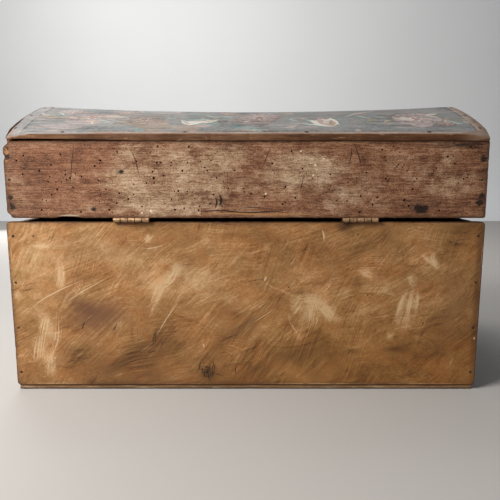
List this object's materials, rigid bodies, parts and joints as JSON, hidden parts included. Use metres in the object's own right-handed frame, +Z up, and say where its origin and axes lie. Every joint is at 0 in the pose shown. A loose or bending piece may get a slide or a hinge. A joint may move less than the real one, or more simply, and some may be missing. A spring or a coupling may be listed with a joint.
{
  "type": "painted trunk",
  "caption": "Small painted wooden trunk with a nailed board base, an arched stave lid on butt hinges and a bolt lock inside the front.",
  "frame": {"origin": "centre of the underside of the bottom board", "axes": "+Z up, +X along the trunk's length to the right of a person facing the lock, +Y towards the hinges"},
  "size_m": [0.531, 0.3255, 0.3359],
  "materials": {
    "ochre_painted_wood": "worn ochre-brown paint, brushed thin",
    "dark_painted_wood": "worn slate-blue paint with painted flowers",
    "bare_wood": "bare aged wood, wormed and stained",
    "aged_brass": "tarnished brass",
    "forged_iron": "dark forged iron with rust"
  },
  "bodies": {
    "base": {"base_back_board": "ochre_painted_wood", "base_front_board": "dark_painted_wood", "base_left_end": "dark_painted_wood", "base_right_end": "dark_painted_wood", "bottom_board": "bare_wood", "base_corner_nails": "forged_iron", "bottom_nails": "forged_iron", "hinge_left_lower_leaf": "aged_brass", "hinge_right_lower_leaf": "aged_brass", "hinge_left_pin": "aged_brass", "hinge_right_pin": "aged_brass", "hinge_lower_screws": "aged_brass", "lock_plate": "forged_iron", "lock_case": "forged_iron", "lock_key_post": "forged_iron", "lock_tacks": "forged_iron"},
    "lid": {"lid_back_board": "bare_wood", "lid_front_board": "dark_painted_wood", "lid_left_end": "dark_painted_wood", "lid_right_end": "dark_painted_wood", "top_back_stave": "dark_painted_wood", "top_crown_stave": "dark_painted_wood", "top_front_stave": "dark_painted_wood", "lid_corner_nails": "forged_iron", "stave_nails": "forged_iron", "hinge_left_upper_leaf": "aged_brass", "hinge_right_upper_leaf": "aged_brass", "hinge_upper_screws": "aged_brass", "lock_staple": "forged_iron", "staple_tacks": "forged_iron"},
    "bolt": {"lock_bolt": "forged_iron"}
  },
  "joints": [
    {"name": "lid_hinge", "type": "hinge", "parent": "base", "child": "lid", "pos_m": [0, 0.16196, 0.197], "axis": [-1, 0, 0], "range_deg": [0, 180]},
    {"name": "bolt_slide", "type": "slide", "parent": "base", "child": "bolt", "axis": [-1, 0, 0], "range_m": [0, 0.009]}
  ]
}
